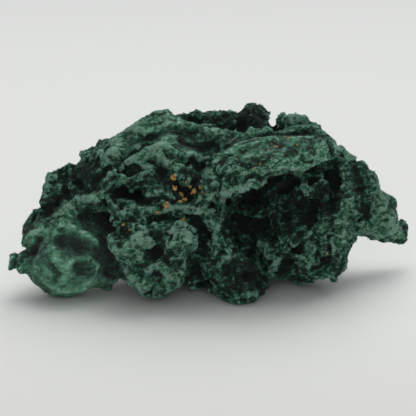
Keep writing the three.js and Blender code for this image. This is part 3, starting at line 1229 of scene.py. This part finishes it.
def template(form: Form) -> tuple[np.ndarray, np.ndarray, np.ndarray]:
    """Makes one unit shape that points up +Z from the origin.

    Args:
        form: which shape.

    Returns:
        Its vertices, its triangles, and 0 at its root to 1 at its tip for each vertex.
    """
    bm = bmesh.new()
    if form is Form.NEEDLE:
        lift = Matrix.Translation((0, 0, 0.5))
        bmesh.ops.create_cone(
            bm, cap_ends=True, cap_tris=False, segments=3, radius1=1.0, radius2=0.0, depth=1.0, matrix=lift
        )
        bmesh.ops.remove_doubles(bm, verts=bm.verts[:], dist=1e-4)
    else:
        bmesh.ops.create_icosphere(bm, subdivisions=1, radius=1.0)
    bmesh.ops.recalc_face_normals(bm, faces=bm.faces[:])
    bmesh.ops.triangulate(bm, faces=bm.faces[:])
    bm.verts.ensure_lookup_table()
    vertices = np.array([v.co[:] for v in bm.verts])
    triangles = np.array([[v.index for v in f.verts] for f in bm.faces])
    bm.free()
    tip = (vertices[:, 2] - vertices[:, 2].min()) / np.ptp(vertices[:, 2])
    return vertices, triangles, tip


@dataclass
class Growth:
    """Thousands of one small shape, grown out of the crust and joined in one mesh.

    `width` is a half-width. `lean` tips the shapes away from the skin's own direction and `sunk` buries their
    roots. `tint` varies their shade at random, and `painted_tip_highlight` pales their tips with a painted
    highlight, where the needle ends catch the light. `keep` says where they grow.
    """

    name: str
    form: Form
    count: int
    seed: int
    width: tuple[float, float]
    length: tuple[float, float]
    lean: float
    sunk: float
    tint: float
    painted_tip_highlight: float
    keep: Callable[[np.ndarray, np.ndarray], np.ndarray]

    def seats(
        self, body: bpy.types.Object, rng: np.random.Generator
    ) -> tuple[np.ndarray, np.ndarray, np.ndarray]:
        """Chooses where the shapes grow, evenly over the skin that `keep` allows.

        Args:
            body: the stone.
            rng: the source of chance.

        Returns:
            The places in millimetres, the skin's outward directions and its shade there.
        """
        mesh = body.data
        mesh.calc_loop_triangles()
        flat = np.empty(len(mesh.loop_triangles) * 3, dtype=np.int32)
        mesh.loop_triangles.foreach_get("vertices", flat)
        corners = flat.reshape(-1, 3)
        points = coordinates(mesh)
        shade = np.empty(len(points), dtype=np.float32)
        mesh.attributes["shade"].data.foreach_get("value", shade)
        a, b, c = (points[corners[:, i]] for i in range(3))
        cross = np.cross(b - a, c - a)
        area = np.linalg.norm(cross, axis=1)
        middle = (a + b + c) / 3
        chance = area * np.clip(self.keep(middle, shade[corners].mean(axis=1)), 0.0, 1.0)
        chosen = rng.choice(len(area), size=self.count, p=chance / chance.sum())
        share = rng.dirichlet((1.0, 1.0, 1.0), size=self.count)
        trio = corners[chosen]
        place_mm = np.einsum("ij,ijk->ik", share, points[trio])
        outward = cross[chosen] / area[chosen, None]
        return place_mm, outward, np.einsum("ij,ij->i", share, shade[trio])

    def build(self, body: bpy.types.Object) -> bpy.types.Object:
        """Grows the shapes on the stone.

        Args:
            body: the stone.

        Returns:
            The joined mesh of all of them.
        """
        rng = np.random.default_rng(self.seed)
        seat, outward, shade = self.seats(body, rng)
        vertices, triangles, tip = template(self.form)
        upward = outward + self.lean * rng.normal(size=outward.shape)
        upward /= np.linalg.norm(upward, axis=1, keepdims=True)
        aside = np.cross(upward, rng.normal(size=outward.shape))
        aside /= np.linalg.norm(aside, axis=1, keepdims=True)
        across = np.cross(upward, aside)
        width = rng.uniform(*self.width, size=(self.count, 1))
        other_width = width * rng.uniform(0.6, 1.1, size=(self.count, 1))
        length = rng.uniform(*self.length, size=(self.count, 1))
        axes = np.stack([aside * width, across * other_width, upward * length], axis=1)
        copies = np.einsum("vk,nkj->nvj", vertices, axes) + (seat - outward * self.sunk)[:, None, :]
        copies[:, :, 2] = np.maximum(copies[:, :, 2], 0.0)
        faces = triangles[None, :, :] + len(vertices) * np.arange(self.count)[:, None, None]
        mesh = bpy.data.meshes.new(self.name)
        mesh.vertices.add(self.count * len(vertices))
        mesh.loops.add(faces.size)
        mesh.polygons.add(faces.size // 3)
        mesh.loops.foreach_set("vertex_index", faces.ravel().astype(np.int32))
        mesh.polygons.foreach_set("loop_start", np.arange(0, faces.size, 3, dtype=np.int32))
        place(mesh, copies.reshape(-1, 3))
        mesh.update(calc_edges=True)
        tint = rng.normal(0.0, self.tint, size=(self.count, 1))
        # Paler tips are a painted highlight, where the needle ends catch the light.
        write_attribute(mesh, "shade", (shade[:, None] + tint + self.painted_tip_highlight * tip[None, :]).ravel())
        write_attribute(mesh, "fineness", np.zeros(copies.shape[0] * copies.shape[1]))
        piece = stand(self.name, mesh)
        mesh.materials.append(bpy.data.materials["fibrous malachite"])
        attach(piece, "root")
        LOG.info("%s: %d faces", self.name, len(mesh.polygons))
        return piece


def rough_skin(middle: np.ndarray, shade: np.ndarray) -> np.ndarray:
    """Allows growth on the rough crust, and little on the smooth left end."""
    return 0.06 + 0.94 * (1 - in_patches(middle, SMOOTH_PATCHES))


def pale_skin(middle: np.ndarray, shade: np.ndarray) -> np.ndarray:
    """Allows growth mostly on the pale crests of the crust."""
    return rough_skin(middle, shade) * smooth_step(shade, 0.2, 0.7)


def frayed_skin(middle: np.ndarray, shade: np.ndarray) -> np.ndarray:
    """Allows growth on the frayed crust, and little where it is felted over."""
    return rough_skin(middle, shade) * (1 - 0.8 * in_patches(middle, FUZZY_PATCHES))


# Real needles are a tenth as wide. These are drawn coarse enough to show.
GROWTHS = (
    Growth("velvet_needles", Form.NEEDLE, 48000, 3, (0.05, 0.1), (0.2, 0.6), 1.1, 0.04, 0.24, 0.2, pale_skin),
    Growth("frayed_flakes", Form.CRUMB, 9500, 4, (0.12, 0.4), (0.05, 0.1), 0.8, 0.0, 0.15, 0.08, frayed_skin),
    Growth("crust_crumbs", Form.CRUMB, 8000, 5, (0.08, 0.24), (0.08, 0.24), 1.5, 0.0, 0.15, 0.04, rough_skin),
)


@dataclass(frozen=True)
class Nest:
    """A few rusty grains together: their middle as seen from the front, their spread and their width."""

    middle: tuple[float, float]
    spread: float
    count: int
    width: float


@dataclass
class RustGrains:
    """The limonite grains in the recess above the boss, with a few strays on the shelf and the block."""

    nests: tuple[Nest, ...] = (
        Nest((-8.3, 7.9), 0.3, 2, 1.5),
        Nest((-5.6, 6.4), 0.2, 1, 0.9),
        Nest((-8.8, 4.0), 0.8, 4, 1.0),
        Nest((-3.6, 4.4), 1.0, 6, 1.2),
        Nest((-6.0, 2.4), 0.7, 3, 1.3),
        Nest((-10.2, 1.6), 0.3, 2, 0.8),
        Nest((-11.4, 0.1), 0.6, 3, 0.8),
        Nest((-6.3, -3.0), 0.3, 2, 1.1),
        Nest((-21.4, -4.1), 0.3, 2, 0.8),
        Nest((-19.6, -5.5), 0.1, 1, 0.6),
        Nest((17.5, 16.7), 1.2, 4, 0.55),
        Nest((20.2, 16.9), 0.8, 3, 0.5),
        Nest((13.2, 10.3), 0.8, 3, 0.5),
        Nest((-0.5, 10.8), 0.3, 2, 0.4),
        Nest((30.2, -11.3), 0.2, 1, 0.7),
    )
    lobes: int = 3
    seed: int = 8

    def build(self, body: bpy.types.Object) -> bpy.types.Object:
        """Sets the grains on the stone.

        Args:
            body: the stone.

        Returns:
            One joined mesh of all the grains.
        """
        rng = np.random.default_rng(self.seed)
        bm = bmesh.new()
        for nest in self.nests:
            spots = [tuple(nest.middle + rng.normal(0.0, nest.spread, 2)) for _ in range(nest.count)]
            for seat in Studio().lay(body, spots):
                for _ in range(self.lobes):
                    half = nest.width * rng.uniform(0.22, 0.44) * MM
                    off = Vector(rng.normal(0.0, 0.2 * nest.width, 3))
                    shape = Matrix.Diagonal((*(half * rng.uniform(0.8, 1.2, 3)), 1.0))
                    where = Matrix.Translation((Vector(seat) + off) * MM)
                    bmesh.ops.create_icosphere(bm, subdivisions=2, radius=1.0, matrix=where @ shape)
        mesh = bpy.data.meshes.new("rust_grains")
        bm.to_mesh(mesh)
        bm.free()
        for face in mesh.polygons:
            face.use_smooth = True
        grains = stand("rust_grains", mesh)
        mesh.materials.append(LimoniteFinish().material())
        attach(grains, "root")
        LOG.info("rust_grains: %d faces", len(mesh.polygons))
        return grains


# ---------------------------------------------------------------- assembly


def main() -> None:
    """Builds the studio and every piece of the stone, in order."""
    logging.basicConfig(level=logging.INFO, format="%(name)s: %(message)s")
    Studio().build()
    body = Stone().build()
    for growth in GROWTHS:
        growth.build(body)
    RustGrains().build(body)


if __name__ == "__main__":
    main()
